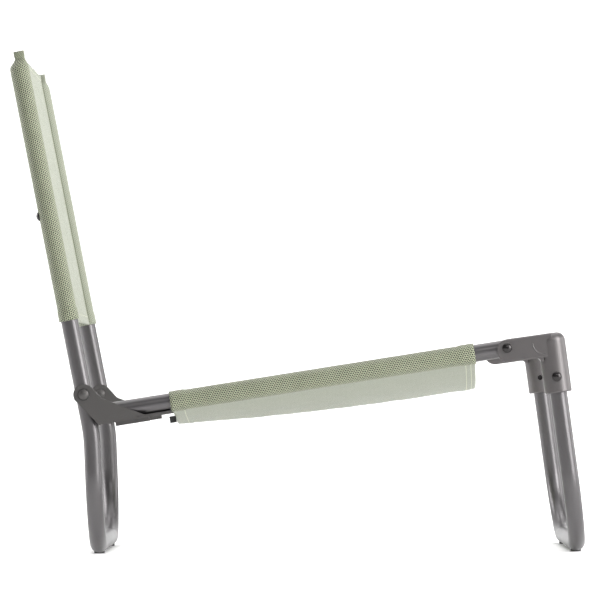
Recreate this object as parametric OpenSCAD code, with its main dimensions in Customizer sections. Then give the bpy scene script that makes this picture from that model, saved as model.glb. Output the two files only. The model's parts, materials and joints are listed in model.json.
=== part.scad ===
// Folding low camping chair: a mesh seat on two sloping rails, a mesh back that folds
// forward onto the seat, and a front leg frame that folds back under the rails.
// X points forward, Y to the left, Z up; the origin lies on the floor under the middle.

/* [Frame tubes] */
// Distance between the centre planes of the side tubes
track_w = 500; // [460:1:540]
// Outside diameter of every frame tube
tube_d = 19.3; // [18.8:0.1:20]
// Wall of the frame tubes
tube_wall = 1.2; // [1:0.1:1.8]
// Centreline radius of the four bends at the floor
floor_bend_r = 80; // [60:1:95]

/* [Seat rails] */
// Height of the back hinges above the floor
hinge_h = 180.5; // [178:0.5:190]
// Slope of the seat rails, low at the rear
rail_slope = 8.76; // [7.5:0.01:9.5]
// Drop of the rail axis below the back hinge, square to the rail
rail_drop = 23.1; // [23:0.1:25]
// Length of rail tube ahead of the front pivot
rail_nose = 16; // [14:0.5:17]
// Length of bare rail between the front hem and the front pivot
hem_to_pivot = 36.6; // [35:0.1:45]

/* [Back frame] */
// Lean of the back tubes from upright
back_lean = 10.95; // [10:0.05:13]
// Length of back tube above the hinge
back_up = 370.3; // [340:0.1:380]
// Length along the tube from the hinge down to the knee
knee_down = 46.8; // [44:0.1:54]
// Centreline radius of the knee
knee_r = 180; // [120:1:220]
// Lean of the rear legs below the knee
rear_leg_lean = 2; // [1:0.1:3]

/* [Front legs] */
// Lean of the front legs from upright
front_leg_lean = 7.5; // [6:0.1:8]
// Distance from the front pivot to the leg's centre line
leg_offset = 50.7; // [50:0.1:56]
// Depth of leg tube inside its socket
socket_depth = 48; // [40:1:52]

/* [Front elbows] */
// Outside diameter of the leg socket
socket_d = 30.6; // [28:0.1:32]
// Width of the arm across its two cheeks
arm_w = 28; // [25.5:0.1:29]
// Height of the arm above the front pivot
arm_up = 10.2; // [9.9:0.1:10.8]
// Depth of the arm below the front pivot
arm_down = 16.3; // [13:0.1:17]
// Angle by which the arm's outline lies flatter than the rail
arm_tilt = 1; // [0:0.1:1.4]
// Chamfer along the arm's outer edges
arm_edge = 1.6; // [0.5:0.1:2]
// Height of the socket's crown above the front pivot's level
crown_up = 10.5; // [10:0.1:13]
// Radius of the crown's rounded corner
crown_r = 9.5; // [5:0.1:11]
// Length of the socket below the front pivot's level
socket_down = 57.1; // [50:0.1:62]
// Chamfer around the socket's mouth
mouth_edge = 1.2; // [0.5:0.1:2]
// Radius of the curved ridge on the outer side
ridge_r = 12.3; // [10:0.1:13]
// Width of that ridge
ridge_w = 1; // [0.6:0.1:1.6]
// Height of that ridge
ridge_h = 0.5; // [0.2:0.1:0.8]
// Distance from the front pivot to the ridge's centre
ridge_x = 41.3; // [38:0.1:43]
// Angle at which the ridge starts
ridge_start = 175; // [160:1:185]
// Angle that the ridge covers
ridge_turn = 100; // [60:1:110]
// Radius of the fillet under the arm
arm_fillet_r = 3.4; // [2:0.1:5]
// How far ahead of the pivot the arm's rounded end is centred
fork_lead = 1.6; // [0:0.1:3]
// Height of the leg rivet above the socket's mouth
rivet_up = 18; // [12:0.5:30]

/* [Hinge brackets] */
// Thickness of the bracket's sheet
sheet_t = 2; // [1.5:0.1:2.5]
// Radius of the lobe around the hinge
lobe_r = 11.6; // [10.5:0.1:12.5]
// Length of a side plate ahead of the hinge
plate_l = 68.4; // [62:0.1:75]
// Depth of a side plate below the hinge
plate_h = 36.5; // [36:0.1:40]
// Radius of the inner corner between the lobe and the plate's sloping edge
plate_fillet_r = 8; // [4:0.5:12]
// Length of the tongue's tip ahead of the hinge
tongue_l = 93.5; // [85:0.1:94]
// Width of the tongue under the rail
tongue_w = 13; // [10:0.1:16]
// Thickness of the tongue under the rail
tongue_t = 3.7; // [3:0.1:4]
// Height of the turned lip along the plate's lower edge
lip_h = 4.2; // [2:0.1:5]
// How far the turned lip stands out
lip_out = 2.6; // [2:0.1:4]
// Diameter of the small tooling hole in a side plate
tooling_d = 2.6; // [1.5:0.1:3]

/* [Rivets and screws] */
// Diameter of the rivets' shanks
rivet_d = 6; // [5:0.1:6.6]
// Radius of the domed rivet heads on the elbows
elbow_head_r = 5.4; // [4.8:0.1:6]
// Height of the domed rivet heads
rivet_head_h = 3.6; // [2.6:0.1:4.4]
// Radius of the hinge rivets' heads
hinge_head_r = 5.8; // [5.2:0.1:6.2]
// Radius of the washers under the hinge rivets' heads
washer_r = 6.6; // [6.3:0.1:7.5]
// Thickness of those washers
washer_t = 0.8; // [0.5:0.1:1.2]
// Outside diameter of the bushes that turn on the rivets
bush_d = 8.6; // [8:0.1:10]
// Radius of the heads of the two screws behind the back
screw_head_r = 5.3; // [4.5:0.1:5.5]
// Height of those screw heads
screw_head_h = 3.6; // [2.5:0.1:4]
// Diameter of those screws
screw_d = 4; // [3:0.1:5]
// Length along the back tube from the hinge up to those screws
screw_up = 205.7; // [150:0.1:240]

/* [Plugs and glides] */
// Thickness of the plugs' flanges
plug_flange = 2; // [1.5:0.1:3]
// Length of the plugs inside their tubes
plug_l = 12; // [8:0.5:14]
// Height of the domed caps on top of the back tubes
cap_h = 3; // [2:0.1:3.5]
// Height of the glides below the crossbars
glide_proud = 1; // [0.6:0.1:1.6]
// Diameter of the glides
glide_d = 12; // [9:0.1:13]
// Diameter of the glides' stems
glide_stem_d = 5; // [4:0.1:6]
// Length of the glides' stems inside the crossbars
glide_stem_l = 6; // [4:0.1:8]

/* [Seat fabric] */
// Room between the bracket's tongue and the rear hem
hem_room = 0.8; // [0.5:0.1:3]
// Length of the seat fabric along the rails
seat_l = 345.7; // [320:0.1:360]
// Thickness of the seat's sleeves around the rails
seat_sleeve_t = 1; // [0.8:0.1:1.6]
// Thickness of the seat panel
panel_t = 1.2; // [0.8:0.1:2]
// Sag of the panel at the rear hem
sag_rear = 25.8; // [20:0.1:30]
// Sag of the panel at the front hem
sag_front = 39.4; // [30:0.1:41]
// Extra sag halfway along the seat
sag_middle = 4.4; // [0:0.1:7]
// Length of the small webbing tab at the rear hem
tab_l = 7.5; // [5:0.1:9]
// Height of that tab
tab_h = 7.7; // [7:0.1:12]
// Thickness of that tab's webbing
tab_t = 1.6; // [1:0.1:2.5]
// Place of that tab as a share of the way from the middle to the right rail
tab_share = 0.625; // [0.5:0.125:0.75]

/* [Back fabric] */
// Length along the back tube from the hinge up to the bottom hem
back_start = 84.6; // [80:0.1:100]
// Thickness of the back's sleeves around the tubes
back_sleeve_t = 0.5; // [0.5:0.05:0.8]
// Room between a cap's top and the closed end of its sleeve
sleeve_room = 6.5; // [6.3:0.1:8]
// Radius of the sleeves' rounded shoulders
shoulder_r = 6; // [4:0.1:6]
// Height of the stitched ears above the shoulders
ear_h = 12.9; // [9:0.1:15]
// How far the top hem lies below the ears' tips
hem_drop = 3; // [1:0.1:6]
// Width of the ears
ear_w = 10.5; // [9:0.1:13]
// Thickness of the ears
ear_t = 5; // [3:0.1:7]
// Thickness of the back panel
back_panel_t = 1.2; // [0.8:0.1:2]
// How far the panel and the ears lie ahead of the tubes' centres
cloth_lead = 2.5; // [1:0.1:3]

/* [Clearances] */
// Running clearance around the rivets that the frames turn on
running = 0.06; // [0.03:0.01:0.09]
// Clearance of plugs and stems in their tubes and holes
push = 0.05; // [0.03:0.01:0.1]
// Gap on each side of a tube between two cheeks or plates
side_gap = 0.3; // [0.2:0.05:0.4]
// Gap left at the stops
stop_gap = 0.3; // [0.2:0.05:0.5]
// Clearance of a fabric sleeve on its tube
sleeve_gap = 0.2; // [0.1:0.05:0.3]

/* [Hidden] */
$fn = 64;

// Colours
tube_color = "#6f6d6e";
bracket_color = "#646361";
dark_color = "#2e2c2c";
mesh_color = "#c4ccab";
plastic_color = "#3a3a3a";

// Seat fabric and front pivot along the rail, from below the hinge
seat_start = tongue_l + hem_room;
rail_run = seat_start + seat_l + hem_to_pivot;

// Tubes
tube_r = tube_d / 2;
bore_r = tube_r - tube_wall;
over = tube_wall / 2;
half_w = track_w / 2;
bar_z = glide_proud + tube_r;

// The back leans past square to the rails by this angle
past_square = back_lean - rail_slope;
knee_angle = back_lean - rear_leg_lean;
knee_tangent = knee_r * tan(knee_angle / 2);
rear_leg_l = (hinge_h - knee_down * cos(back_lean) - bar_z) / cos(rear_leg_lean);

// Front pivot, measured forward and up from the back hinge
pivot_dx = rail_drop * sin(rail_slope) + rail_run * cos(rail_slope);
pivot_dz = -rail_drop * cos(rail_slope) + rail_run * sin(rail_slope);
leg_l = (hinge_h + pivot_dz + leg_offset * sin(front_leg_lean) - bar_z) / cos(front_leg_lean);
bar_dx = pivot_dx + leg_offset * cos(front_leg_lean) + leg_l * sin(front_leg_lean);

// Back fabric along the back tube
back_sleeve_r = tube_r + sleeve_gap + back_sleeve_t;
sleeve_top = back_up + cap_h + sleeve_room;
shoulder_z = sleeve_top - shoulder_r;
back_top = sleeve_top + ear_h - hem_drop;

// The hinge lies so that the chair's outline is centred on the origin
rear_reach = (back_sleeve_r - shoulder_r) * cos(back_lean) + shoulder_z * sin(back_lean) + shoulder_r;
hinge_x = (rear_reach - bar_dx - tube_r) / 2;

// Rail ends, measured along the rail from below the hinge
buffer_x = (rail_drop + tube_r) * tan(past_square) + tube_r / cos(past_square) + stop_gap;
rail_end_x = rail_run + rail_nose;
nose_sweep = norm([rail_nose + plug_flange, tube_r]);

// Elbow
slot_w = tube_d + 2 * side_gap;
fork_r = (arm_up + arm_down) / 2;
fork_z = arm_up - fork_r;
slot_front = nose_sweep + stop_gap;
web_start = tube_r + stop_gap;
leg_top = leg_l - socket_down + socket_depth;
arm_turn = rail_slope - front_leg_lean;
leg_rivet_z = rivet_up - socket_down;

// Bracket outline as shares of the plate's length and depth
corner_shares = [[0.175, 1], [0.95, 1], [1, 0.97], [0.414, 0.342], [0.269, 0.189]];
lip_start_share = 0.445;
tooling_shares = [0.819, 0.94];
relief_share = 0.414;
bracket_in = tube_r + side_gap;
plate_out = bracket_in + sheet_t;

// Spaces that the pieces are drawn in

module right_side() {
    translate([0, -half_w, 0]) children();
}

module left_side() {
    mirror([0, 1, 0]) right_side() children();
}

// Origin at the hinge, X along the rails
module rail_space() {
    translate([hinge_x, 0, hinge_h]) rotate([0, -rail_slope, 0]) children();
}

// Origin on the rail's axis below the hinge, X along the rail
module on_rail() {
    rail_space() translate([0, 0, -rail_drop]) children();
}

// Origin at the hinge, Z up the back tube
module back_space() {
    translate([hinge_x, 0, hinge_h]) rotate([0, -back_lean, 0]) children();
}

// Origin at the front pivot, Z up along the front leg
module leg_space() {
    translate([hinge_x + pivot_dx, 0, hinge_h + pivot_dz]) rotate([0, -front_leg_lean, 0]) children();
}

// Rods used for tubes, bores and shanks

module rod_x(from, to, r) {
    translate([from, 0, 0]) rotate([0, 90, 0]) cylinder(r = r, h = to - from);
}

module rod_y(from, to, r) {
    translate([0, from, 0]) rotate([-90, 0, 0]) cylinder(r = r, h = to - from);
}

module rod_z(from, to, r) {
    translate([0, 0, from]) cylinder(r = r, h = to - from);
}

// A domed head on a disc, its flat face at the origin and its crown towards Z
module domed_head(r, h) {
    rim = h * 0.3;
    dome = h - rim;
    ball_r = (r * r + dome * dome) / (2 * dome);
    cylinder(r = r, h = rim);
    translate([0, 0, rim]) intersection() {
        translate([0, 0, dome - ball_r]) sphere(r = ball_r);
        cylinder(r = r, h = h);
    }
}

// Two legs, two floor bends and a crossbar, from the crossbar's centre up
module floor_u(r, top) {
    bar_half = half_w - floor_bend_r;
    rod_y(-bar_half, bar_half, r);
    for (m = [0, 1]) mirror([0, m, 0]) {
        translate([0, -bar_half, floor_bend_r]) rotate([-90, 0, -90])
            rotate_extrude(angle = 90) translate([floor_bend_r, 0]) circle(r = r);
        translate([0, -half_w, 0]) rod_z(floor_bend_r, top, r);
    }
}

// The whole bent path of the back frame
module back_path(r, top) {
    back_space() {
        translate([0, 0, -knee_down]) rotate([0, knee_angle, 0]) translate([0, 0, -rear_leg_l])
            floor_u(r, rear_leg_l - knee_tangent);
        for (m = [0, 1]) mirror([0, m, 0]) translate([0, -half_w, 0]) {
            translate([-knee_r, 0, knee_tangent - knee_down]) rotate([-90, 0, 0])
                rotate_extrude(angle = knee_angle) translate([knee_r, 0]) circle(r = r);
            rod_z(knee_tangent - knee_down, top, r);
        }
    }
}

// Glides, at the ends of each crossbar's straight part

module glide(bar_x) {
    bar_half = half_w - floor_bend_r;
    translate([bar_x, bar_half - glide_d, 0]) color(plastic_color) {
        difference() {
            cylinder(d = glide_d, h = bar_z - tube_r * 0.7);
            translate([0, 0, bar_z]) rod_y(-glide_d, glide_d, tube_r + push);
        }
        cylinder(d = glide_stem_d, h = glide_proud + glide_stem_l);
    }
}

module glide_holes(bar_x) {
    bar_half = half_w - floor_bend_r;
    for (m = [0, 1]) mirror([0, m, 0]) translate([bar_x, bar_half - glide_d, 0])
        cylinder(d = glide_stem_d + 2 * push, h = bar_z);
}

rear_bar_x = hinge_x + knee_down * sin(back_lean) + rear_leg_l * sin(rear_leg_lean);
front_bar_x = hinge_x + bar_dx;

// Seat rails and what is fixed to them

module seat_rail() {
    color(tube_color) on_rail() difference() {
        rod_x(buffer_x + plug_flange, rail_end_x, tube_r);
        rod_x(buffer_x, rail_end_x + over, bore_r);
        translate([rail_run, 0, 0]) rod_y(-tube_d, tube_d, bush_d / 2);
    }
}

// The rear buffer faces the back tube, and the front plug ends short of the pivot's bush
module rail_buffer() {
    color(plastic_color) on_rail() {
        rod_x(buffer_x, buffer_x + plug_flange, tube_r);
        rod_x(buffer_x + plug_flange, buffer_x + plug_flange + plug_l, bore_r - push);
    }
}

module rail_plug() {
    color(plastic_color) on_rail() {
        rod_x(rail_end_x, rail_end_x + plug_flange, tube_r);
        rod_x(rail_run + bush_d / 2 + stop_gap, rail_end_x, bore_r - push);
    }
}

module pivot_bush() {
    color(plastic_color) on_rail() translate([rail_run, 0, 0]) difference() {
        rod_y(-tube_r, tube_r, bush_d / 2);
        rod_y(-tube_d, tube_d, rivet_d / 2 + running);
    }
}

// Point where the line from p touches the lobe, on the side given by s
function touch(p, s) =
    let (a = atan2(p[1], p[0]) + s * acos(lobe_r / norm(p)))
    [lobe_r * cos(a), lobe_r * sin(a)];

plate_points = [for (c = corner_shares) [c[0] * plate_l, -c[1] * plate_h]];

module plate_outline() {
    last = len(plate_points) - 1;
    difference() {
        offset(r = -plate_fillet_r) offset(delta = plate_fillet_r) {
            circle(r = lobe_r);
            polygon(concat([touch(plate_points[0], -1)], plate_points, [touch(plate_points[last], 1), [0, 0]]));
        }
        translate([tooling_shares[0] * plate_l, -tooling_shares[1] * plate_h]) circle(d = tooling_d);
        translate([relief_share * plate_l, -plate_h]) square([tooling_d, tooling_d], center = true);
    }
}

// Section of the lip that is turned outwards below a side plate
module lip_section() {
    polygon([
        [-bracket_in, -plate_h], [-bracket_in, sheet_t - plate_h],
        [-plate_out, sheet_t - plate_h], [-plate_out, -plate_h],
        [-plate_out - lip_out, -plate_h - lip_h], [-bracket_in - lip_out, -plate_h - lip_h]]);
}

module hinge_bracket() {
    lip_x = lip_start_share * plate_l;
    tongue_z = -rail_drop - tube_r - tongue_t;
    color(bracket_color) rail_space() difference() {
        union() {
            for (m = [0, 1]) mirror([0, m, 0]) {
                translate([0, plate_out, 0]) rotate([90, 0, 0]) linear_extrude(sheet_t) plate_outline();
                translate([lip_x, 0, 0]) rotate([90, 0, 90]) linear_extrude(plate_l - lip_x) lip_section();
            }
            translate([lip_x, -plate_out + sheet_t / 2, tongue_z])
                cube([plate_l - lip_x - sheet_t, 2 * plate_out - sheet_t, tongue_t]);
            translate([lip_x, -tongue_w / 2, tongue_z]) cube([tongue_l - lip_x, tongue_w, tongue_t]);
        }
        rod_y(-track_w, track_w, rivet_d / 2);
    }
}

module hinge_rivet() {
    color(bracket_color) rail_space() {
        rod_y(-plate_out - washer_t, plate_out, rivet_d / 2);
        translate([0, -plate_out - washer_t, 0]) rotate([90, 0, 0]) domed_head(hinge_head_r, rivet_head_h);
        translate([0, plate_out, 0]) rotate([-90, 0, 0]) domed_head(hinge_head_r, rivet_head_h);
    }
}

module hinge_washer() {
    color(dark_color) rail_space() difference() {
        rod_y(-plate_out - washer_t, -plate_out, washer_r);
        rod_y(-track_w, track_w, rivet_d / 2 + push);
    }
}

// Seat fabric: two sleeves and a sagging panel between them

seat_sleeve_r = tube_r + sleeve_gap + seat_sleeve_t;
panel_half = half_w - tube_r - sleeve_gap - seat_sleeve_t / 2;
panel_rows = 12;
panel_cols = 16;

function sag_at(t) = sag_rear + (sag_front - sag_rear) * t + 4 * sag_middle * t * (1 - t);

function panel_point(i, j, up) =
    let (t = i / panel_rows, u = 2 * j / panel_cols - 1)
    [seat_start + t * seat_l, u * panel_half, -sag_at(t) * (1 - u * u) + up];

module seat_panel() {
    row = panel_cols + 1;
    sheet = (panel_rows + 1) * row;
    points = [for (up = [panel_t / 2, -panel_t / 2]) for (i = [0:panel_rows]) for (j = [0:panel_cols])
        panel_point(i, j, up)];
    grid = [for (i = [0:panel_rows - 1]) for (j = [0:panel_cols - 1]) i * row + j];
    top = [for (a = grid) each [[a, a + row + 1, a + row], [a, a + 1, a + row + 1]]];
    bottom = [for (a = grid) each [[a + row, a + row + 1, a] + [1, 1, 1] * sheet, [a + row + 1, a + 1, a] + [1, 1, 1] * sheet]];
    ends = [for (i = [0, panel_rows]) for (j = [0:panel_cols - 1])
        let (a = i * row + j) i == 0 ? [a, a + sheet, a + sheet + 1, a + 1] : [a + 1, a + sheet + 1, a + sheet, a]];
    sides = [for (j = [0, panel_cols]) for (i = [0:panel_rows - 1])
        let (a = i * row + j) j == 0 ? [a + row, a + row + sheet, a + sheet, a] : [a, a + sheet, a + row + sheet, a + row]];
    polyhedron(points = points, faces = concat(top, bottom, ends, sides), convexity = 4);
}

module seat_fabric() {
    color(mesh_color) on_rail() {
        seat_panel();
        for (m = [0, 1]) mirror([0, m, 0]) translate([0, -half_w, 0]) difference() {
            rod_x(seat_start, seat_start + seat_l, seat_sleeve_r);
            rod_x(0, rail_run, tube_r + sleeve_gap);
        }
    }
}

// The tab hangs from the panel's rear edge
module seat_tab() {
    under = -sag_rear * (1 - tab_share * tab_share) - panel_t / 2;
    color(dark_color) on_rail()
        translate([seat_start + panel_t - tab_l, -tab_share * panel_half - tab_t / 2, under - tab_h])
            cube([tab_l, tab_t, tab_h]);
}

// Back frame and what is fixed to it

module back_tube() {
    color(tube_color) difference() {
        back_path(tube_r, back_up);
        back_path(bore_r, back_up + over);
        back_space() {
            rod_y(-track_w, track_w, bush_d / 2);
            for (m = [0, 1]) mirror([0, m, 0]) translate([0, -half_w, screw_up])
                rod_x(-tube_d, 0, screw_d / 2);
        }
        glide_holes(rear_bar_x);
    }
}

module hinge_bush() {
    color(plastic_color) back_space() difference() {
        rod_y(-tube_r, tube_r, bush_d / 2);
        rod_y(-tube_d, tube_d, rivet_d / 2 + running);
    }
}

module back_cap() {
    color(plastic_color) back_space() translate([0, 0, back_up]) {
        domed_head(tube_r, cap_h);
        rod_z(-plug_l, 0, bore_r - push);
    }
}

module fabric_screw() {
    color(dark_color) back_space() translate([-back_sleeve_r, 0, screw_up]) {
        rod_x(0, tube_r, screw_d / 2);
        rotate([0, -90, 0]) domed_head(screw_head_r, screw_head_h);
    }
}

module back_sleeve() {
    difference() {
        union() {
            rod_z(back_start, shoulder_z, back_sleeve_r);
            translate([0, 0, shoulder_z]) rotate_extrude() {
                square([back_sleeve_r - shoulder_r, shoulder_r]);
                intersection() {
                    translate([back_sleeve_r - shoulder_r, 0]) circle(r = shoulder_r);
                    square([back_sleeve_r, shoulder_r]);
                }
            }
            translate([cloth_lead - ear_w / 2, -ear_t / 2, shoulder_z]) cube([ear_w, ear_t, shoulder_r + ear_h]);
        }
        rod_z(0, back_up + cap_h + sleeve_gap, tube_r + sleeve_gap);
        translate([0, 0, screw_up]) rod_x(-tube_d, 0, screw_d / 2 + push);
    }
}

// The panel's edges end inside the sleeves' walls, and its top band runs on between the ears
module back_fabric() {
    edge_y = half_w - back_sleeve_r + back_sleeve_t;
    color(mesh_color) back_space() {
        translate([cloth_lead - back_panel_t / 2, 0, 0]) {
            translate([0, -edge_y, back_start]) cube([back_panel_t, 2 * edge_y, back_top - back_start]);
            translate([0, -half_w, shoulder_z]) cube([back_panel_t, track_w, back_top - shoulder_z]);
        }
        for (m = [0, 1]) mirror([0, m, 0]) translate([0, -half_w, 0]) back_sleeve();
    }
}

// Front leg frame

module front_leg_tube() {
    color(tube_color) difference() {
        leg_space() translate([leg_offset, 0, -leg_l]) difference() {
            floor_u(tube_r, leg_top);
            floor_u(bore_r, leg_top + over);
            translate([0, 0, leg_rivet_z + leg_l]) rod_y(-track_w, track_w, rivet_d / 2);
        }
        glide_holes(front_bar_x);
    }
}

module socket_body() {
    crown_z = crown_up - crown_r;
    mouth_z = mouth_edge - socket_down;
    translate([0, 0, -socket_down]) cylinder(r1 = socket_d / 2 - mouth_edge, r2 = socket_d / 2, h = mouth_edge);
    rod_z(mouth_z, crown_z, socket_d / 2);
    translate([0, 0, crown_z]) rotate_extrude() {
        square([socket_d / 2 - crown_r, crown_r]);
        intersection() {
            translate([socket_d / 2 - crown_r, 0]) circle(r = crown_r);
            square([socket_d / 2, crown_r]);
        }
    }
}

// Side view of the arm, origin at the front pivot
module arm_outline() {
    translate([fork_lead, fork_z]) circle(r = fork_r);
    translate([fork_lead, -arm_down]) square([leg_offset - fork_lead, arm_up + arm_down]);
}

// Section across the arm, with its long edges chamfered
module arm_section() {
    half = arm_w / 2;
    polygon([
        [-half, arm_edge - arm_down], [arm_edge - half, -arm_down], [half - arm_edge, -arm_down],
        [half, arm_edge - arm_down], [half, arm_up - arm_edge], [half - arm_edge, arm_up],
        [arm_edge - half, arm_up], [-half, arm_up - arm_edge]]);
}

// Fillet in the corner between the arm and the socket
module arm_fillet() {
    difference() {
        square([2 * arm_fillet_r, 2 * arm_fillet_r]);
        circle(r = arm_fillet_r);
    }
}

module arm_body() {
    fillet_x = leg_offset - socket_d / 2 - arm_fillet_r;
    intersection() {
        translate([0, arm_w / 2, 0]) rotate([90, 0, 0]) linear_extrude(arm_w) arm_outline();
        translate([fork_lead - fork_r, 0, 0]) rotate([90, 0, 90]) linear_extrude(fork_r + leg_offset) arm_section();
    }
    translate([fillet_x, arm_w / 2 - arm_edge, -arm_down - arm_fillet_r]) rotate([90, 0, 0])
        linear_extrude(arm_w - 2 * arm_edge) arm_fillet();
    translate([ridge_x, -arm_w / 2, 0]) rotate([90, 0, 0]) rotate([0, 0, ridge_start])
        rotate_extrude(angle = ridge_turn) translate([ridge_r - ridge_w / 2, -arm_edge])
            square([ridge_w, arm_edge + ridge_h]);
}

module front_elbow() {
    color(tube_color) leg_space() difference() {
        union() {
            translate([leg_offset, 0, 0]) socket_body();
            rotate([0, arm_tilt - arm_turn, 0]) arm_body();
        }
        translate([leg_offset, 0, 0]) rod_z(-socket_down - over, socket_depth - socket_down, tube_r + push);
        rotate([0, -arm_turn, 0]) {
            translate([-tube_d, -slot_w / 2, -tube_r - push]) cube([tube_d + slot_front, slot_w, tube_d + arm_up]);
            translate([-tube_d, -slot_w / 2, -tube_d]) cube([tube_d + web_start, slot_w, tube_d]);
        }
        rod_y(-arm_w, arm_w, rivet_d / 2);
        translate([leg_offset, 0, leg_rivet_z]) rod_y(-socket_d, socket_d, rivet_d / 2);
    }
}

module pivot_rivet() {
    color(dark_color) leg_space() {
        rod_y(-arm_w / 2, arm_w / 2, rivet_d / 2);
        translate([0, -arm_w / 2, 0]) rotate([90, 0, 0]) domed_head(elbow_head_r, rivet_head_h);
        translate([0, arm_w / 2, 0]) rotate([-90, 0, 0]) domed_head(elbow_head_r, rivet_head_h / 2);
    }
}

// The leg rivet's inner end stays inside an open hole in the socket
module leg_rivet() {
    color(dark_color) leg_space() translate([leg_offset, 0, leg_rivet_z]) {
        rod_y(-socket_d / 2, tube_r + over, rivet_d / 2);
        translate([0, -socket_d / 2, 0]) rotate([90, 0, 0]) domed_head(elbow_head_r, rivet_head_h);
    }
}

left_side() seat_rail();  // seat_rail_left
right_side() seat_rail();  // seat_rail_right
left_side() hinge_bracket();  // hinge_bracket_left
right_side() hinge_bracket();  // hinge_bracket_right
left_side() rail_buffer();  // rail_buffer_left
right_side() rail_buffer();  // rail_buffer_right
left_side() rail_plug();  // rail_plug_left
right_side() rail_plug();  // rail_plug_right
left_side() hinge_rivet();  // hinge_rivet_left
right_side() hinge_rivet();  // hinge_rivet_right
left_side() hinge_washer();  // hinge_washer_left
right_side() hinge_washer();  // hinge_washer_right
left_side() pivot_bush();  // pivot_bush_left
right_side() pivot_bush();  // pivot_bush_right
seat_fabric();
seat_tab();
back_tube();
left_side() back_cap();  // back_cap_left
right_side() back_cap();  // back_cap_right
left_side() hinge_bush();  // hinge_bush_left
right_side() hinge_bush();  // hinge_bush_right
back_fabric();
left_side() fabric_screw();  // fabric_screw_left
right_side() fabric_screw();  // fabric_screw_right
glide(rear_bar_x);  // rear_glide_left
mirror([0, 1, 0]) glide(rear_bar_x);  // rear_glide_right
front_leg_tube();
left_side() front_elbow();  // front_elbow_left
right_side() front_elbow();  // front_elbow_right
left_side() pivot_rivet();  // pivot_rivet_left
right_side() pivot_rivet();  // pivot_rivet_right
left_side() leg_rivet();  // leg_rivet_left
right_side() leg_rivet();  // leg_rivet_right
glide(front_bar_x);  // front_glide_left
mirror([0, 1, 0]) glide(front_bar_x);  // front_glide_right
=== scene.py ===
import json
import math

import bmesh
import bpy
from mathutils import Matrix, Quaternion, Vector, noise


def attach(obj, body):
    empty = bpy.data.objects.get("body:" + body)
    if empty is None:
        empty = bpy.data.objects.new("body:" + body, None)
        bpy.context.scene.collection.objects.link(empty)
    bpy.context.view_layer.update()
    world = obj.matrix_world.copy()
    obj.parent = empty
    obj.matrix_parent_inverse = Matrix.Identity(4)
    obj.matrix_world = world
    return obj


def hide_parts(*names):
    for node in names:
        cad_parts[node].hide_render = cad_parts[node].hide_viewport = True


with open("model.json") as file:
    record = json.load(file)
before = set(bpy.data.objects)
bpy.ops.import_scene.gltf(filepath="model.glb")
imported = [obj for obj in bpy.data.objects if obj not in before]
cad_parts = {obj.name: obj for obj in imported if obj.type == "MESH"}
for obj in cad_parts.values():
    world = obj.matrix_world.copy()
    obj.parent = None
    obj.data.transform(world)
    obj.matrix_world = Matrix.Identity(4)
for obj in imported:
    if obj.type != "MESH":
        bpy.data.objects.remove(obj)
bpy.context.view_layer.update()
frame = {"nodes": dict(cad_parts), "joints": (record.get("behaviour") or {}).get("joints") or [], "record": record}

# Driving sizes of the chair, in metres and degrees, the same as the frame's
TRACK = 0.500
RAIL_SLOPE = 8.76
RAIL_DROP = 0.0231
BACK_LEAN = 10.95
HALF = TRACK / 2

# Seat fabric, measured along the rail from below the hinge
SEAT_START = 0.0943
SEAT_LENGTH = 0.3457
SEAT_SLEEVE_R = 0.0111
SEAT_HEM_W = 0.016
SAG_REAR = 0.0258
SAG_FRONT = 0.0394
SAG_MIDDLE = 0.0044
# How far the sleeve's sewn-down start lies inside its last turn
SLEEVE_TUCK = 0.0009

# Back fabric, measured up the back tube from the hinge
BACK_START = 0.0846
BACK_SLEEVE_R = 0.0106
SHOULDER = 0.3736
EAR_START = 0.3850
BACK_TOP = 0.3925
BACK_LENGTH = BACK_TOP - BACK_START
EAR_HALF_W = 0.0051
EAR_HALF_T = 0.0016
CLOTH_LEAD = 0.0025
BOTTOM_HEM_W = 0.012
TOP_HEM_W = 0.0078
# How far the top edge dips between the ears
TOP_DIP = 0.003

# Cloth and its weave; a slot's pitch along and across the sleeves
CLOTH_T = 0.0009
HEM_T = 0.0021
PITCH_ALONG = 0.0027
PITCH_ACROSS = 0.0021

# Seams: one stitch and the gap after it, and the thread's half width and height
STITCH_LENGTH = 0.0035
STITCH_GAP = 0.0012
THREAD_HALF_W = 0.00035
THREAD_H = 0.0003
REAR_SEAM_IN = 0.003
FRONT_SEAMS_IN = (0.0107, 0.005)
BOTTOM_SEAM_IN = 0.0095
TOP_SEAM_IN = 0.0062

# Slow waves in the cloth: how many per metre along and across, and their height
SEAT_WAVES = (60, 45)
SEAT_WAVE_H = 0.0006
GATHERS = (260, 18)
GATHER_H = 0.0004
BACK_WAVES = (30, 24)
BACK_WAVE_H = 0.0012
# How fast the gathers die away from the rear and the front hem, and the front's share of them
REAR_FADE = 14
FRONT_FADE = 18
FRONT_GATHER_SHARE = 0.6


def joint_place(name):
    joint = next(j for j in frame["joints"] if j["name"] == name)
    return Vector(joint["pos_m"])


def direction(angle):
    """Unit vector in the side plane, at an angle from straight forward towards up."""
    return Vector((math.cos(math.radians(angle)), 0, math.sin(math.radians(angle))))


HINGE = joint_place("back_fold")
ALONG_RAIL = direction(RAIL_SLOPE)
RAIL_UP = direction(RAIL_SLOPE + 90)
RAIL_FOOT = HINGE - RAIL_DROP * RAIL_UP
UP_BACK = direction(BACK_LEAN + 90)
BACK_FRONT = direction(BACK_LEAN)


# Materials

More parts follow.
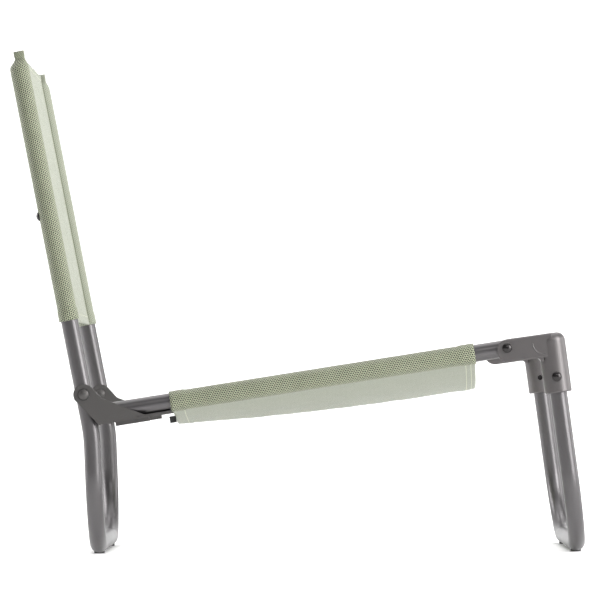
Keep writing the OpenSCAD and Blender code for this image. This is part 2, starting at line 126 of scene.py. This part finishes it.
# Patterns per metre. Orange peel is about 1 mm across and the patches of gloss 55 mm. A mould's
# sparks and the rivets' scuffs are drawn at 0.5 and 2.4 mm, coarser than real ones, so they show.
PEEL_PER_METRE = 900.0
GLOSS_PATCHES_PER_METRE = 18.0
SPARKS_PER_METRE = 2200.0
SCUFFS_PER_METRE = 420.0
THREAD_PATCHES_PER_METRE = 60.0
FIBRES_PER_METRE = 40.0

# How much smoother and rougher the coat gets in its patches, and how dark its dark patches are
GLOSS_DOWN = 0.04
GLOSS_UP = 0.05
DARK_PATCH_SHARE = 0.9

# The weave: the arc that a thread shows, how far the upper thread stands over the lower one, the
# width of a slot's soft edge, and the heights between which a thread's colour is painted from
# shade to light
THREAD_ARC = math.pi * 1.25
CROSSING_RISE = 0.16
SLOT_SOFT_EDGE = 0.18
SHADE_HEIGHT = 0.6
LIGHT_HEIGHT = 1.05
WEAVE_DEPTH = 0.0005

# Depth of the spark texture in moulded nylon
SPARK_DEPTH = 0.00004


def srgb(code):
    """Linear colour of an sRGB hex code."""
    channels = [int(code[i:i + 2], 16) / 255 for i in (1, 3, 5)]
    return [c / 12.92 if c <= 0.04045 else ((c + 0.055) / 1.055) ** 2.4 for c in channels] + [1]


def add(tree, kind, inputs=None, **settings):
    """Adds a node, sets its own settings, then sets or links its inputs."""
    made = tree.nodes.new("ShaderNode" + kind)
    for name, value in settings.items():
        setattr(made, name, value)
    for name, value in (inputs or {}).items():
        if isinstance(value, bpy.types.NodeSocket):
            tree.links.new(value, made.inputs[name])
        else:
            made.inputs[name].default_value = value
    return made


def new_material(name):
    material = bpy.data.materials.new(name)
    material.use_nodes = True
    tree = material.node_tree
    tree.nodes.clear()
    shader = add(tree, "BsdfPrincipled")
    output = add(tree, "OutputMaterial", {"Surface": shader.outputs["BSDF"]})
    output.is_active_output = True
    return material, tree, shader


def surface_relief(tree, shader, height, depth, soften=0.0):
    """Gives the surface a relief of some depth, on edges that are rounded by soften."""
    relief = add(tree, "Bump", {"Height": height, "Strength": 1.0, "Distance": depth})
    if soften:
        edges = add(tree, "Bevel", {"Radius": soften}, samples=6)
        tree.links.new(edges.outputs["Normal"], relief.inputs["Normal"])
    tree.links.new(relief.outputs["Normal"], shader.inputs["Normal"])


def powder_coat(name, code, roughness, metallic, grain, soften=0.0):
    """Baked powder coat on steel: a satin grey that picks up long soft highlights, with a fine
    orange-peel bump and slow patches where the gloss changes a little. The coat rounds the edges
    of cast and cut pieces, so they catch a thin line of light."""
    material, tree, shader = new_material(name)
    place = add(tree, "TexCoord").outputs["Object"]
    peel = add(tree, "TexNoise", {"Vector": place, "Scale": PEEL_PER_METRE, "Detail": 2.0})
    patchwork = add(tree, "TexNoise", {"Vector": place, "Scale": GLOSS_PATCHES_PER_METRE, "Detail": 4.0})
    patches = patchwork.outputs["Fac"]
    ends = {"Value": patches, "To Min": roughness - GLOSS_DOWN, "To Max": roughness + GLOSS_UP}
    gloss = add(tree, "MapRange", ends)
    base = srgb(code)
    dark = [c * DARK_PATCH_SHARE for c in base[:3]] + [1]
    colour = add(tree, "Mix", {"Factor": patches, "A": dark, "B": base}, data_type="RGBA")
    shader.inputs["Metallic"].default_value = metallic
    tree.links.new(gloss.outputs["Result"], shader.inputs["Roughness"])
    tree.links.new(colour.outputs["Result"], shader.inputs["Base Color"])
    surface_relief(tree, shader, peel.outputs["Fac"], grain, soften)
    return material


def moulded_nylon(name, code, roughness):
    """Moulded nylon: nearly black, dull, with the fine spark texture of a mould."""
    material, tree, shader = new_material(name)
    place = add(tree, "TexCoord").outputs["Object"]
    sparks = add(tree, "TexNoise", {"Vector": place, "Scale": SPARKS_PER_METRE, "Detail": 3.0})
    shader.inputs["Base Color"].default_value = srgb(code)
    shader.inputs["Roughness"].default_value = roughness
    surface_relief(tree, shader, sparks.outputs["Fac"], SPARK_DEPTH)
    return material


def black_plated_steel(name, code, metallic):
    """Black-plated steel rivets: deep glossy domes with one small bright highlight."""
    material, tree, shader = new_material(name)
    place = add(tree, "TexCoord").outputs["Object"]
    scuffs = add(tree, "TexNoise", {"Vector": place, "Scale": SCUFFS_PER_METRE, "Detail": 5.0})
    gloss = add(tree, "MapRange", {"Value": scuffs.outputs["Fac"], "To Min": 0.16, "To Max": 0.3})
    shader.inputs["Base Color"].default_value = srgb(code)
    shader.inputs["Metallic"].default_value = metallic
    tree.links.new(gloss.outputs["Result"], shader.inputs["Roughness"])
    return material


def woven_mesh(name, thread, shade, painted_slot_shade, hole_edge):
    """Vinyl-coated polyester mesh: round pale threads that cross over and under, with slots
    2.7 mm apart along the sleeve and 2.1 mm across it, staggered from column to column. The
    threads' crowns are painted light and their sides painted in shade. The slots are painted in a
    flat shade colour that stands in for what shows through them: nearly black on the outer halves
    of the sleeves and paler in the rest of the cloth."""
    material, tree, shader = new_material(name)
    uv = add(tree, "UVMap", uv_map="cloth").outputs["UV"]
    flat = add(tree, "SeparateXYZ", {"Vector": uv}).outputs

    # Every second column of slots is shifted by half a pitch
    across = add(tree, "Math", {0: flat["Y"], 1: PITCH_ACROSS}, operation="DIVIDE").outputs[0]
    shifted = add(tree, "Math", {0: across, 1: 0.5}, operation="ADD").outputs[0]
    column = add(tree, "Math", {0: shifted}, operation="FLOOR").outputs[0]
    odd = add(tree, "Math", {0: column, 1: 2.0}, operation="FLOORED_MODULO").outputs[0]
    stagger = add(tree, "Math", {0: odd, 1: 0.5}, operation="MULTIPLY").outputs[0]
    unshifted = add(tree, "Math", {0: flat["X"], 1: PITCH_ALONG}, operation="DIVIDE").outputs[0]
    along = add(tree, "Math", {0: unshifted, 1: stagger}, operation="ADD").outputs[0]

    # Round crowns of the threads that run each way
    crowns = []
    for turns in (along, across):
        part = add(tree, "Math", {0: turns}, operation="FRACT").outputs[0]
        offset = add(tree, "Math", {0: part, 1: 0.5}, operation="SUBTRACT").outputs[0]
        distance = add(tree, "Math", {0: offset}, operation="ABSOLUTE").outputs[0]
        angle = add(tree, "Math", {0: distance, 1: THREAD_ARC}, operation="MULTIPLY").outputs[0]
        crowns.append(add(tree, "Math", {0: angle}, operation="COSINE").outputs[0])

    # The two ways take turns on top
    row = add(tree, "Math", {0: along}, operation="FLOOR").outputs[0]
    strip = add(tree, "Math", {0: across}, operation="FLOOR").outputs[0]
    cell = add(tree, "Math", {0: row, 1: strip}, operation="ADD").outputs[0]
    upper = add(tree, "Math", {0: cell, 1: 2.0}, operation="FLOORED_MODULO").outputs[0]
    lower = add(tree, "Math", {0: 1.0, 1: upper}, operation="SUBTRACT").outputs[0]
    first = add(tree, "Math", {0: upper, 1: CROSSING_RISE, 2: crowns[0]}, operation="MULTIPLY_ADD")
    second = add(tree, "Math", {0: lower, 1: CROSSING_RISE, 2: crowns[1]}, operation="MULTIPLY_ADD")
    ways = {0: first.outputs[0], 1: second.outputs[0]}
    height = add(tree, "Math", ways, operation="MAXIMUM").outputs[0]

    # Slots below a height, in painted shade, and threads painted from shade to light above it
    ends = {"Value": height, "From Min": hole_edge, "From Max": hole_edge + SLOT_SOFT_EDGE}
    solid = add(tree, "MapRange", ends).outputs["Result"]
    ends = {"Value": height, "From Min": SHADE_HEIGHT, "From Max": LIGHT_HEIGHT}
    crown = add(tree, "MapRange", ends).outputs["Result"]
    place = add(tree, "TexCoord").outputs["Object"]
    patches = add(tree, "TexNoise", {"Vector": place, "Scale": THREAD_PATCHES_PER_METRE, "Detail": 3.0})
    fade = {0: patches.outputs["Fac"], 1: 0.5, 2: 0.75}
    uneven = add(tree, "Math", fade, operation="MULTIPLY_ADD").outputs[0]
    # Painted highlight on the threads' crowns and painted shade on their sides
    tint = add(tree, "Math", {0: crown, 1: uneven}, operation="MULTIPLY").outputs[0]
    threads = add(tree, "Mix", {"Factor": tint, "A": srgb(shade), "B": srgb(thread)}, data_type="RGBA")
    # The slots take a flat painted shade colour
    layers = {"Factor": solid, "A": srgb(painted_slot_shade), "B": threads.outputs["Result"]}
    weave = add(tree, "Mix", layers, data_type="RGBA")
    shader.inputs["Roughness"].default_value = 0.55
    shader.inputs["Sheen Weight"].default_value = 0.15
    tree.links.new(weave.outputs["Result"], shader.inputs["Base Color"])
    surface_relief(tree, shader, height, WEAVE_DEPTH)
    return material


def twill(name, code, pitch, depth):
    """Fine woven tape or sewing thread: a dull dyed polyester with a tight twill bump."""
    material, tree, shader = new_material(name)
    place = add(tree, "TexCoord").outputs["Object"]
    settings = {"Vector": place, "Scale": 1 / pitch, "Distortion": 1.5, "Detail": 2.0}
    ribs = add(tree, "TexWave", settings)
    shader.inputs["Base Color"].default_value = srgb(code)
    shader.inputs["Roughness"].default_value = 0.8
    shader.inputs["Sheen Weight"].default_value = 0.2
    surface_relief(tree, shader, ribs.outputs["Fac"], depth)
    return material


TUBE_PAINT = powder_coat("powder_coated_steel_tube", "#646263", 0.38, 0.88, 0.00002)
BRACKET_PAINT = powder_coat("powder_coated_steel_bracket", "#575554", 0.5, 0.6, 0.00004, 0.0007)
ELBOW_PAINT = powder_coat("powder_coated_cast_elbow", "#666363", 0.42, 0.75, 0.00005, 0.001)
RIVET_STEEL = black_plated_steel("black_plated_rivet_steel", "#3A3838", 0.85)
# Near-black nylon; on the hinge washers this colour is also painted shade, standing in for the dark ring of shade
# round each hinge rivet head
NYLON = moulded_nylon("black_moulded_nylon", "#2A2A2A", 0.5)
# Two copies of one mesh with different painted shade: paler painted slots and threads in the open cloth and the
# sleeves' inner halves, near-black painted slots and strong painted thread shade on the sleeves' outer halves
OPEN_MESH = woven_mesh("vinyl_coated_mesh_open", "#9B9F8F", "#838874", "#676C59", 0.3)
SLEEVE_MESH = woven_mesh("vinyl_coated_mesh_dark_painted_slots", "#A9AF92", "#4B5335", "#040502", 0.8)
THREAD = twill("polyester_sewing_thread", "#C9CEB6", 0.0006, 0.0001)
WEBBING = twill("black_polyester_webbing", "#1E1E1E", 0.0012, 0.0003)


# Cloth and stitches

# The outer half of a sleeve, as shares of its turn round the tube; its slots are painted in near-black shade
OUTER_START_SHARE = 0.24
OUTER_END_SHARE = 0.76

# Points of a seam in each step of the cloth's grid
SEAM_STEPS = 4


def make_piece(name, bm, material, body):
    mesh = bpy.data.meshes.new(name)
    bm.to_mesh(mesh)
    bm.free()
    for polygon in mesh.polygons:
        polygon.use_smooth = True
    piece = bpy.data.objects.new(name, mesh)
    bpy.context.scene.collection.objects.link(piece)
    piece.data.materials.append(material)
    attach(piece, body)
    return piece


def apply_modifiers(piece):
    evaluated = piece.evaluated_get(bpy.context.evaluated_depsgraph_get())
    mesh = bpy.data.meshes.new_from_object(evaluated)
    piece.modifiers.clear()
    piece.data = mesh


def outer_sleeve_half(j, loop_steps, columns):
    """True on the outer half of a sleeve, whose mesh has its slots painted in near-black shade."""
    share = (min(j, columns - 1 - j) + 0.5) / loop_steps
    return OUTER_START_SHARE < share < OUTER_END_SHARE


def cloth_grid(name, rows, columns, loop_steps, place, hem_at, body):
    """A sheet of cloth from a grid of points, with a sleeve of loop_steps columns on each side.
    place(i, j) gives a point and its place on the flat cloth, and hem_at(i) is true where the
    cloth is folded over and sewn."""
    bm = bmesh.new()
    uv = bm.loops.layers.uv.new("cloth")
    points = [[place(i, j) for j in range(columns + 1)] for i in range(rows + 1)]
    verts = [[bm.verts.new(point) for point, flat in row] for row in points]
    for i in range(rows):
        for j in range(columns):
            corners = [(i, j), (i, j + 1), (i + 1, j + 1), (i + 1, j)]
            face = bm.faces.new([verts[a][b] for a, b in corners])
            # Outer sleeve halves take the mesh with near-black painted slot shade, the rest the paler one
            face.material_index = 1 if outer_sleeve_half(j, loop_steps, columns) else 0
            for loop, (a, b) in zip(face.loops, corners):
                loop[uv].uv = points[a][b][1]
    piece = make_piece(name, bm, OPEN_MESH, body)
    piece.data.materials.append(SLEEVE_MESH)
    group = piece.vertex_groups.new(name="thickness")
    for i in range(rows + 1):
        row = [i * (columns + 1) + j for j in range(columns + 1)]
        group.add(row, 1.0 if hem_at(i) else CLOTH_T / HEM_T, "REPLACE")
    solidify = piece.modifiers.new("cloth", "SOLIDIFY")
    solidify.thickness = HEM_T
    solidify.offset = 0
    solidify.vertex_group = group.name
    apply_modifiers(piece)
    return piece


def stitches(name, path, body, up):
    """A row of small rounded stitches along a path of points, each lying on the cloth."""
    bm = bmesh.new()
    travelled = 0.0
    for a, b in zip(path, path[1:]):
        step = b - a
        if travelled >= STITCH_LENGTH + STITCH_GAP:
            travelled = 0.0
        if travelled < STITCH_LENGTH:
            side = step.cross(up).normalized() * THREAD_HALF_W
            lift = up.normalized() * THREAD_H
            ring = []
            for point in (a, b):
                ring.append([bm.verts.new(point + side * math.cos(t) + lift * math.sin(t))
                             for t in (0, math.pi / 3, math.pi * 2 / 3, math.pi)])
            for k in range(3):
                bm.faces.new([ring[0][k], ring[0][k + 1], ring[1][k + 1], ring[1][k]])
        travelled += step.length
    return make_piece(name, bm, THREAD, body)


# Seat sling: a sleeve around each rail and a sagging panel, from one piece of cloth

SEAT_LOOP = 28
SEAT_PANEL = 72
SEAT_COLUMNS = 2 * SEAT_LOOP + SEAT_PANEL
SEAT_ROWS = 110
SEAT_PANEL_EDGE = HALF - SEAT_SLEEVE_R
SEAT_LOOP_LENGTH = 2 * math.pi * SEAT_SLEEVE_R


def sag_at(t):
    return SAG_REAR + (SAG_FRONT - SAG_REAR) * t + 4 * SAG_MIDDLE * t * (1 - t)


def seat_section(j, t):
    """Point (side, height) of column j across the seat, and its distance along the flat cloth."""
    panel_length = 2 * SEAT_PANEL_EDGE * (1 + 2 / 3 * (sag_at(t) / SEAT_PANEL_EDGE) ** 2)
    if j < SEAT_LOOP or j > SEAT_LOOP + SEAT_PANEL:
        near = j < SEAT_LOOP
        share = (j if near else SEAT_COLUMNS - j) / SEAT_LOOP
        angle = 2 * math.pi * share
        radius = SEAT_SLEEVE_R - SLEEVE_TUCK * (1 - share) ** 2
        side = -HALF + radius * math.cos(angle)
        flat = -panel_length / 2 - SEAT_LOOP_LENGTH * (1 - share)
        return (side if near else -side), radius * math.sin(angle), (flat if near else -flat)
    u = 2 * (j - SEAT_LOOP) / SEAT_PANEL - 1
    return u * SEAT_PANEL_EDGE, -sag_at(t) * (1 - u * u), u * panel_length / 2


def seat_point(i, j):
    """Point of the seat in row i and column j, with slow waves and gathers at its hems, and its
    place on the flat cloth."""
    t = i / SEAT_ROWS
    side, height, flat = seat_section(j, t)
    along = SEAT_START + t * SEAT_LENGTH
    near_hem = math.exp(-t * REAR_FADE) + FRONT_GATHER_SHARE * math.exp(-(1 - t) * FRONT_FADE)
    wave = noise.noise(Vector((along * SEAT_WAVES[0], side * SEAT_WAVES[1], 3.0)))
    fold = noise.noise(Vector((along * GATHERS[0], side * GATHERS[1] + 9, 7.0)))
    slack = min(1.0, 4 * (1 - abs(side) / HALF) + 0.3)
    height += SEAT_WAVE_H * wave * slack + GATHER_H * near_hem * fold
    point = RAIL_FOOT + along * ALONG_RAIL + height * RAIL_UP + Vector((0, side, 0))
    return point, (t * SEAT_LENGTH, flat)


def seat_hem(i):
    distance = i / SEAT_ROWS * SEAT_LENGTH
    return distance < SEAT_HEM_W or distance > SEAT_LENGTH - SEAT_HEM_W


seat = cloth_grid("seat_sling", SEAT_ROWS, SEAT_COLUMNS, SEAT_LOOP, seat_point, seat_hem, "seat_frame")
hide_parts("seat_fabric")

# Seams of the seat: one row in the rear hem, two in the front hem and one along each rail
SEAT_FACES = (("top", RAIL_UP), ("under", -RAIL_UP))
hem_seams = {"rear_hem": SEAT_HEM_W - REAR_SEAM_IN,
             "front_hem_a": SEAT_LENGTH - FRONT_SEAMS_IN[0],
             "front_hem_b": SEAT_LENGTH - FRONT_SEAMS_IN[1]}
for label, distance in hem_seams.items():
    i = distance / SEAT_LENGTH * SEAT_ROWS
    for face, out in SEAT_FACES:
        path = [seat_point(i, j / SEAM_STEPS)[0] + out * HEM_T * 0.5
                for j in range(SEAM_STEPS * SEAT_LOOP, SEAM_STEPS * (SEAT_LOOP + SEAT_PANEL) + 1)]
        stitches(f"{label}_stitches_{face}", path, "seat_frame", out)
for label, j in (("right", SEAT_LOOP + 1), ("left", SEAT_LOOP + SEAT_PANEL - 1)):
    for face, out in SEAT_FACES:
        path = [seat_point(i / SEAM_STEPS, j)[0] + out * CLOTH_T * 0.5
                for i in range(SEAM_STEPS, SEAM_STEPS * (SEAT_ROWS - 1) + 1)]
        stitches(f"{label}_rail_stitches_{face}", path, "seat_frame", out)


# Back sling: two tight sleeves closed at the top, with a flat panel between them

BACK_LOOP = 28
BACK_PANEL = 64
BACK_COLUMNS = 2 * BACK_LOOP + BACK_PANEL
BACK_ROWS = 110
BACK_LOOP_LENGTH = 2 * math.pi * BACK_SLEEVE_R

# Seam points left out at the bottom and at the top of each row beside a post
POST_SEAM_SKIP_LOW = 18
POST_SEAM_SKIP_HIGH = 14


def smooth_step(low, high, value):
    share = min(1.0, max(0.0, (value - low) / (high - low)))
    return share * share * (3 - 2 * share)


def back_section(j, up):
    """Point (side, forward) of column j across the back at height up, and its flat distance."""
    closing = smooth_step(SHOULDER, EAR_START, up)
    half_x = BACK_SLEEVE_R + (EAR_HALF_W - BACK_SLEEVE_R) * closing
    half_y = BACK_SLEEVE_R + (EAR_HALF_T - BACK_SLEEVE_R) * closing
    seam = math.asin(CLOTH_LEAD * (1 - closing) / half_x)
    edge = HALF - half_y * math.cos(seam)
    if j < BACK_LOOP or j > BACK_LOOP + BACK_PANEL:
        near = j < BACK_LOOP
        share = (j if near else BACK_COLUMNS - j) / BACK_LOOP
        angle = seam + 2 * math.pi * share
        side = -HALF + half_y * math.cos(angle)
        forward = CLOTH_LEAD * closing + half_x * math.sin(angle)
        flat = -HALF + BACK_SLEEVE_R - BACK_LOOP_LENGTH * (1 - share)
        return (side if near else -side), forward, (flat if near else -flat)
    u = 2 * (j - BACK_LOOP) / BACK_PANEL - 1
    return u * edge, CLOTH_LEAD, u * edge


def back_point(i, j):
    """Point of the back in row i and column j, with slow waves and a dip in the top edge between
    the ears, and its place on the flat cloth."""
    t = i / BACK_ROWS
    side, forward, flat = back_section(j, BACK_START + t * BACK_LENGTH)
    inner = max(0.0, 1 - abs(side) / (HALF - BACK_SLEEVE_R))
    up = BACK_START + t * (BACK_LENGTH - TOP_DIP * min(1.0, inner * 12))
    wave = noise.noise(Vector((up * BACK_WAVES[0], side * BACK_WAVES[1], 5.0)))
    forward += BACK_WAVE_H * wave * min(1.0, inner * 5)
    point = HINGE + up * UP_BACK + forward * BACK_FRONT + Vector((0, side, 0))
    return point, (t * BACK_LENGTH, flat)


def back_hem(i):
    distance = i / BACK_ROWS * BACK_LENGTH
    return distance < BOTTOM_HEM_W or distance > BACK_LENGTH - TOP_HEM_W


back = cloth_grid("back_sling", BACK_ROWS, BACK_COLUMNS, BACK_LOOP, back_point, back_hem, "back_frame")
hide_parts("back_fabric")

# Seams of the back: one row along each hem and one beside each post, on both faces
FIRST_SEAM = BACK_LOOP + 1
LAST_SEAM = BACK_LOOP + BACK_PANEL - 1
for face, out in (("front", BACK_FRONT), ("rear", -BACK_FRONT)):
    for label, distance in (("bottom", BOTTOM_SEAM_IN), ("top", BACK_LENGTH - TOP_SEAM_IN)):
        i = distance / BACK_LENGTH * BACK_ROWS
        path = [back_point(i, j / SEAM_STEPS)[0] + out * HEM_T * 0.5
                for j in range(SEAM_STEPS * FIRST_SEAM, SEAM_STEPS * LAST_SEAM + 1)]
        stitches(f"back_{label}_stitches_{face}", path, "back_frame", out)
    for label, j in (("right", FIRST_SEAM), ("left", LAST_SEAM)):
        path = [back_point(i / SEAM_STEPS, j)[0] + out * CLOTH_T * 0.5
                for i in range(POST_SEAM_SKIP_LOW, SEAM_STEPS * BACK_ROWS - POST_SEAM_SKIP_HIGH + 1)]
        stitches(f"back_{label}_stitches_{face}", path, "back_frame", out)


# Finishes of the carried-over frame pieces

finishes = {"frame_paint": TUBE_PAINT, "bracket_paint": BRACKET_PAINT, "elbow_paint": ELBOW_PAINT,
            "webbing": WEBBING, "dark_steel": RIVET_STEEL, "dark_plastic": NYLON}
slots = {part["node"]: part["material_slot"] for part in frame["record"]["subparts"]}
for name, node in frame["nodes"].items():
    if slots[name] in finishes:
        node.data.materials.clear()
        node.data.materials.append(finishes[slots[name]])


# Studio: pale floor and backdrop, soft lights, and the camera at the photograph's place

CHAIR_MIDDLE = (0, 0, 0.25)
PAPER_GLOW = 0.1
DAYLIGHT = 0.22


def studio_surface(name, half_size, place, turn):
    """A sheet of matt white studio paper that glows a little, so that it stays white in shade."""
    bm = bmesh.new()
    bmesh.ops.create_grid(bm, x_segments=1, y_segments=1, size=half_size)
    mesh = bpy.data.meshes.new(name)
    bm.to_mesh(mesh)
    bm.free()
    surface = bpy.data.objects.new(name, mesh)
    surface.location = place
    surface.rotation_euler = turn
    bpy.context.scene.collection.objects.link(surface)
    material, tree, shader = new_material(name + "_paper")
    on_paper = add(tree, "TexCoord").outputs["Object"]
    fibres = add(tree, "TexNoise", {"Vector": on_paper, "Scale": FIBRES_PER_METRE, "Detail": 3.0})
    tones = {"Factor": fibres.outputs["Fac"], "A": srgb("#F8F8F8"), "B": srgb("#FDFDFD")}
    paper = add(tree, "Mix", tones, data_type="RGBA")
    tree.links.new(paper.outputs["Result"], shader.inputs["Base Color"])
    shader.inputs["Roughness"].default_value = 0.9
    shader.inputs["Emission Color"].default_value = srgb("#FFFFFF")
    shader.inputs["Emission Strength"].default_value = PAPER_GLOW
    surface.data.materials.append(material)


def soft_light(name, place, target, width, height, power):
    light = bpy.data.lights.new(name, "AREA")
    light.shape = "RECTANGLE"
    light.size = width
    light.size_y = height
    light.energy = power
    lamp = bpy.data.objects.new(name, light)
    lamp.location = place
    lamp.rotation_euler = (Vector(target) - Vector(place)).to_track_quat("-Z", "Y").to_euler()
    bpy.context.scene.collection.objects.link(lamp)


# The backdrop's lower edge lies 1 cm below the floor
studio_surface("studio_floor", half_size=9.0, place=(0, 0, 0), turn=(0, 0, 0))
studio_surface("studio_backdrop", half_size=3.4, place=(0, 4.0, 3.39), turn=(math.pi / 2, 0, 0))

world = bpy.data.worlds.new("studio")
bpy.context.scene.world = world
world.use_nodes = True
world.node_tree.nodes["Background"].inputs["Color"].default_value = srgb("#FFFFFF")
world.node_tree.nodes["Background"].inputs["Strength"].default_value = DAYLIGHT

soft_light("right_softbox", place=(2.4, -1.6, 1.3), target=CHAIR_MIDDLE, width=1.4, height=2.2, power=104)
soft_light("left_softbox", place=(-2.6, 0.9, 1.2), target=CHAIR_MIDDLE, width=1.2, height=2.0, power=58)
soft_light("right_rear_softbox", place=(3.0, 0.9, 1.1), target=CHAIR_MIDDLE, width=1.4, height=2.0, power=38)
soft_light("top_softbox", place=(0, 0.6, 3.0), target=(0, 0.2, 0), width=3.0, height=3.0, power=56)
soft_light("backdrop_light", place=(0, 1.6, 3.2), target=(0, 4.0, 1.0), width=4.0, height=1.0, power=92)
soft_light("front_softbox", place=(0.5, -3.2, 2.6), target=CHAIR_MIDDLE, width=2.4, height=0.8, power=24)

# The camera, fitted to the photograph, with its place along X measured from the hinge
CAMERA_AHEAD = 0.26655
CAMERA_SIDE = -6.8156
CAMERA_HEIGHT = 0.1854
CAMERA_YAW = 0.207
CAMERA_PITCH = 0.873
CAMERA_ROLL = 0.259
CAMERA_LENS = 351.14
CAMERA_SENSOR = 36
CAMERA_REACH = 60

camera_data = bpy.data.cameras.new("camera")
camera_data.lens = CAMERA_LENS
camera_data.sensor_width = CAMERA_SENSOR
camera_data.clip_end = CAMERA_REACH
camera = bpy.data.objects.new("camera", camera_data)
camera.location = Vector((HINGE.x + CAMERA_AHEAD, CAMERA_SIDE, CAMERA_HEIGHT))
yaw = math.radians(CAMERA_YAW)
pitch = math.radians(CAMERA_PITCH)
aim = Vector((-math.sin(yaw) * math.cos(pitch), math.cos(yaw) * math.cos(pitch), math.sin(pitch)))
turn = aim.to_track_quat("-Z", "Y") @ Quaternion((0, 0, 1), -math.radians(CAMERA_ROLL))
camera.rotation_euler = turn.to_euler()
bpy.context.scene.collection.objects.link(camera)
bpy.context.scene.camera = camera
bpy.context.scene.view_settings.view_transform = "Standard"
